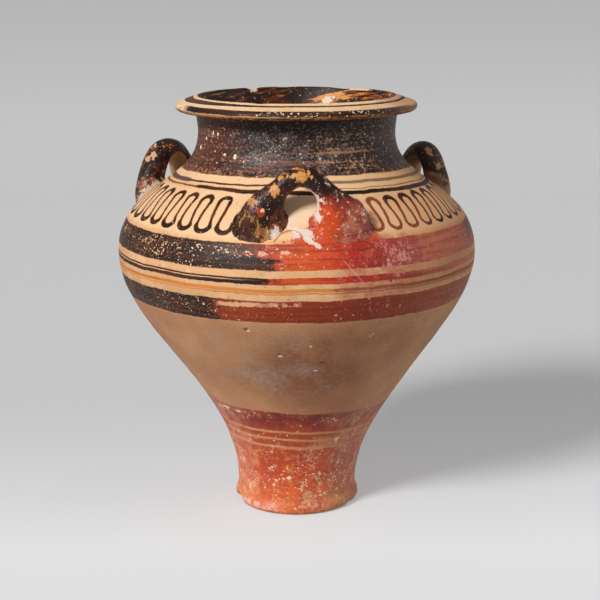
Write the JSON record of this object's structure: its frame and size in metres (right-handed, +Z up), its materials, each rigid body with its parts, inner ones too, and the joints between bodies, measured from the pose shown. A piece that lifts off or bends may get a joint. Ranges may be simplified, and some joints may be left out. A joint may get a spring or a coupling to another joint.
{
  "type": "terracotta jar",
  "caption": "Painted terracotta jar with an overhanging lip, a high swelling shoulder with upright loop handles, and a body tapering to a narrow foot; for storing and pouring goods.",
  "frame": {"origin": "on the jar's axis, in the plane of the standing ring it rests on", "axes": "+Z up along the jar's axis; -Y is the front, where one of the handles stands"},
  "size_m": [0.1616, 0.1616, 0.1883],
  "materials": {
    "buff_clay": "bare buff terracotta, matt to faintly burnished, with painted bands",
    "dark_slip": "black-brown painted slip, semi-gloss, flaked in places",
    "red_slip": "red-orange painted slip, satin, worn in places"
  },
  "bodies": {
    "root": {"foot_ring": "red_slip", "floor_disc": "buff_clay", "stem_wall": "red_slip", "belly_wall": "buff_clay", "shoulder_wall": "buff_clay", "neck_collar": "dark_slip", "lip_ring": "dark_slip", "front_handle": "dark_slip", "front_handle_left_pad": "dark_slip", "front_handle_right_pad": "dark_slip", "right_handle": "dark_slip", "right_handle_left_pad": "dark_slip", "right_handle_right_pad": "dark_slip", "left_handle": "dark_slip", "left_handle_left_pad": "dark_slip", "left_handle_right_pad": "dark_slip"}
  },
  "joints": []
}
